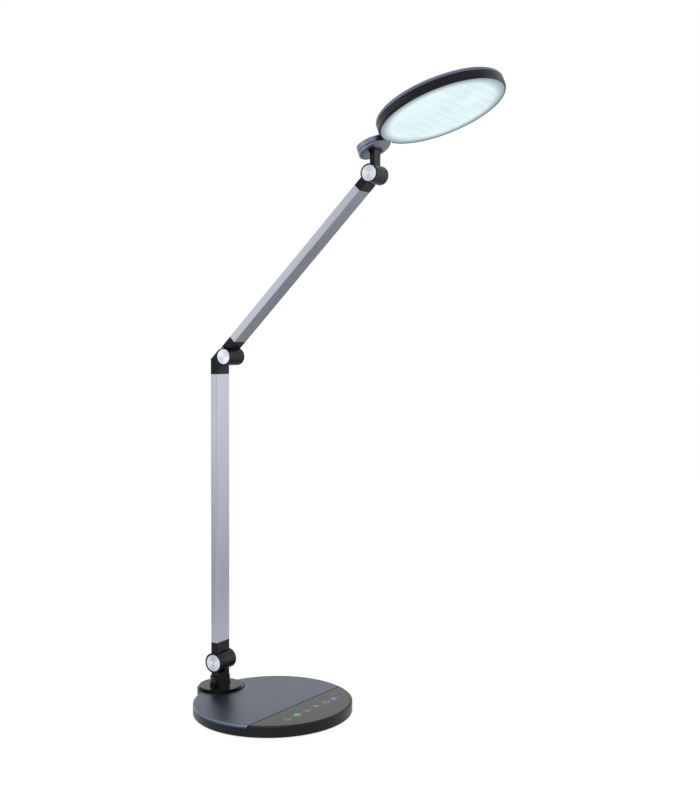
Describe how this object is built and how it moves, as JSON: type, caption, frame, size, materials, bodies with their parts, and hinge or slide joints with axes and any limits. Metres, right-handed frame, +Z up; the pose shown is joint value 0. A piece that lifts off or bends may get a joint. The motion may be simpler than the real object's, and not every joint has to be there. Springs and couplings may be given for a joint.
{
  "type": "led table lamp",
  "caption": "Desk lamp with a round base, a turning post, two hinged flat arms, and a round light head that tilts and swivels.",
  "frame": {"origin": "centre of the underside of the base pad, on the table", "axes": "+Z up; -Y towards the user, the side of the touch panel; the arms stand at the back of the base, at +Y, and their hinge caps look towards -X"},
  "size_m": [0.1931, 0.3952, 0.7239],
  "materials": {
    "black_plastic": "fine satin black moulding",
    "fitting_black": "fine-textured black moulding",
    "satin_black": "satin black with a bevelled edge",
    "slate_aluminium": "blue-grey anodised, fine brushed",
    "slate_plastic": "blue-grey satin coat",
    "gloss_panel": "high gloss black",
    "arm_aluminium": "pale silver anodised satin",
    "polished_cap": "bright turned metal",
    "opal_diffuser": "opal, lit from behind",
    "circuit_board": "green board lacquer",
    "led_chip": "phosphor yellow",
    "heat_aluminium": "mill finish",
    "weight_steel": "plain pressed steel",
    "screw_steel": "zinc plated",
    "screw_black": "blackened steel",
    "spring_steel": "oiled spring steel",
    "washer_nylon": "natural nylon",
    "lead_jacket": "soft black jacket",
    "grip_rubber": "fine-celled foam rubber",
    "touch_rubber": "conductive foam",
    "indicator_lens": "small clear lamps, green and blue when lit",
    "inlet_plastic": "black socket moulding"
  },
  "bodies": {
    "base": {"base_housing": "black_plastic", "base_floor": "black_plastic", "grip_pad": "grip_rubber", "base_screws": "screw_steel", "base_weight": "weight_steel", "top_plate": "slate_aluminium", "control_panel": "gloss_panel", "touch_board": "circuit_board", "touch_pads": "touch_rubber", "indicator_lights": "indicator_lens", "power_inlet": "inlet_plastic", "base_leads": "lead_jacket", "pivot_cap": "satin_black"},
    "post": {"post": "fitting_black", "swivel_washer": "washer_nylon", "swivel_nut": "screw_steel", "post_lead": "lead_jacket", "base_hinge_rear_cap": "fitting_black"},
    "lower_arm": {"lower_arm_foot": "fitting_black", "lower_arm_tube": "arm_aluminium", "lower_arm_head": "fitting_black", "lower_arm_screws": "screw_black", "lower_arm_lead": "lead_jacket", "base_hinge_cap": "polished_cap", "elbow_cap": "polished_cap", "lower_arm_hinge_bolts": "screw_steel", "lower_arm_hinge_nuts": "screw_steel", "lower_arm_hinge_spring_washers": "spring_steel", "lower_arm_hinge_friction_washers": "washer_nylon"},
    "upper_arm": {"upper_arm_foot": "fitting_black", "upper_arm_tube": "arm_aluminium", "upper_arm_head": "fitting_black", "upper_arm_screws": "screw_black", "upper_arm_lead": "lead_jacket", "elbow_rear_cap": "fitting_black", "head_hinge_cap": "polished_cap", "upper_arm_hinge_bolts": "screw_steel", "upper_arm_hinge_nuts": "screw_steel", "upper_arm_hinge_spring_washers": "spring_steel", "upper_arm_hinge_friction_washers": "washer_nylon"},
    "neck": {"neck": "fitting_black", "neck_lead": "lead_jacket", "tilt_plate": "slate_aluminium", "neck_screws": "screw_steel", "head_hinge_rear_cap": "fitting_black", "head_swivel_washer": "washer_nylon"},
    "head": {"head_swivel_screw": "screw_steel", "head_bracket": "slate_aluminium", "bracket_screws": "screw_steel", "head_shell": "slate_plastic", "head_rim": "black_plastic", "diffuser": "opal_diffuser", "led_board": "circuit_board", "leds": "led_chip", "heat_plate": "heat_aluminium", "head_screws": "screw_steel", "head_lead": "lead_jacket"}
  },
  "joints": [
    {"name": "base_swivel", "type": "hinge", "parent": "base", "child": "post", "pos_m": [0, 0.084, 0.0174], "axis": [0, 0, 1], "range_deg": [-90, 90]},
    {"name": "base_hinge", "type": "hinge", "parent": "post", "child": "lower_arm", "pos_m": [0, 0.084, 0.0471], "axis": [0.9962, 0.0872, 0], "range_deg": [-30, 60]},
    {"name": "elbow", "type": "hinge", "parent": "lower_arm", "child": "upper_arm", "pos_m": [0.00157, 0.06602, 0.4234], "axis": [-0.9962, -0.0872, 0], "range_deg": [-90, 30]},
    {"name": "head_hinge", "type": "hinge", "parent": "upper_arm", "child": "neck", "pos_m": [0.01905, -0.13375, 0.62684], "axis": [-0.9962, -0.0872, 0], "range_deg": [-75, 50]},
    {"name": "head_swivel", "type": "hinge", "parent": "neck", "child": "head", "pos_m": [0.01898, -0.13299, 0.65701], "axis": [-0.0315, 0.3602, 0.9323], "range_deg": [-90, 90]}
  ]
}
